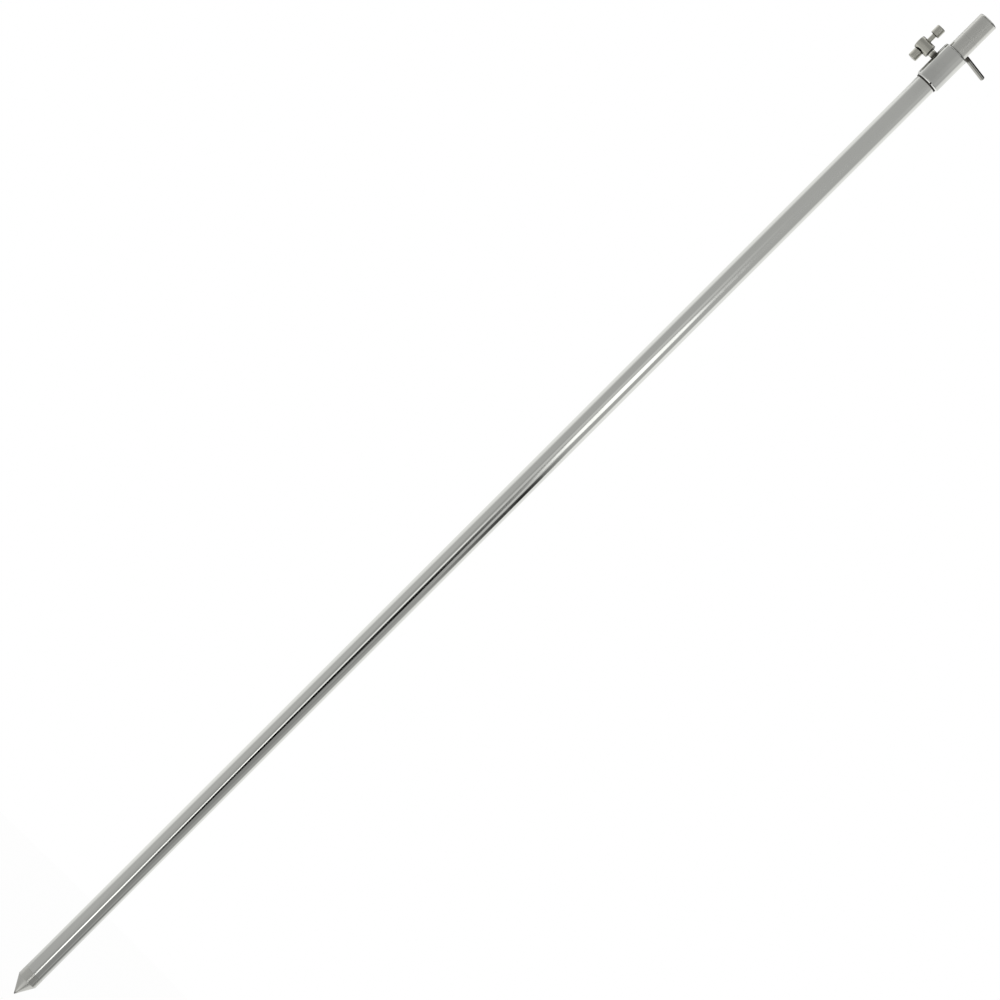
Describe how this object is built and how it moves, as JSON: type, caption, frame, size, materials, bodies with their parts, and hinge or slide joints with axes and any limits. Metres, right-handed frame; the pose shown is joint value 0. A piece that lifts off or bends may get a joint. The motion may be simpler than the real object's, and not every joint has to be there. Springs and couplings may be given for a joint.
{
  "type": "telescopic bank stick",
  "caption": "Stainless telescopic bank stick: pointed outer tube, clamp collar with a tommy-bar T-screw, sliding inner tube with a threaded socket and a stop pin.",
  "frame": {"origin": "the tip of the ground point, on the stick's axis", "axes": "+Z along the stick, from the point to the threaded head; the T-screw is on the -X side and -Y is the front"},
  "size_m": [0.0477, 0.0382, 0.975],
  "materials": {
    "polished_steel": "mirror-polished stainless steel with fine drawing lines along the tube",
    "satin_steel": "satin turned stainless steel",
    "brass": "plain turned brass",
    "black_plastic": "moulded black nylon"
  },
  "bodies": {
    "stake": {"outer_tube": "polished_steel", "spike_point": "satin_steel", "clamp_collar": "polished_steel", "screw_boss": "satin_steel"},
    "foot_guide": {"foot_plug": "black_plastic"},
    "inner_stem": {"inner_tube": "satin_steel", "threaded_head": "satin_steel", "stop_pin": "satin_steel"},
    "pad": {"pressure_pad": "brass"},
    "t_screw": {"clamp_screw": "satin_steel"},
    "tommy": {"tommy_bar": "satin_steel", "tommy_knob_upper": "satin_steel", "tommy_knob_lower": "satin_steel"}
  },
  "joints": [
    {"name": "telescope", "type": "slide", "parent": "stake", "child": "foot_guide", "axis": [0, 0, 1], "range_m": [-0.0013, 0.78]},
    {"name": "inner_twist", "type": "hinge", "parent": "foot_guide", "child": "inner_stem", "pos_m": [0, 0, 0.9], "axis": [0, 0, 1], "range_deg": [-210, 105]},
    {"name": "pad_travel", "type": "slide", "parent": "stake", "child": "pad", "axis": [-1, 0, 0], "range_m": [0, 0.00141]},
    {"name": "screw_turn", "type": "hinge", "parent": "pad", "child": "t_screw", "pos_m": [-0.02, 0, 0.93035], "axis": [-1, 0, 0], "range_deg": [0, 720]},
    {"name": "tommy_slide", "type": "slide", "parent": "t_screw", "child": "tommy", "axis": [0, 0, 1], "range_m": [-0.0057, 0]}
  ],
  "couplings": [
    {"joint": "pad_travel", "follows": "screw_turn", "m_per_rad": 0.00011141}
  ]
}
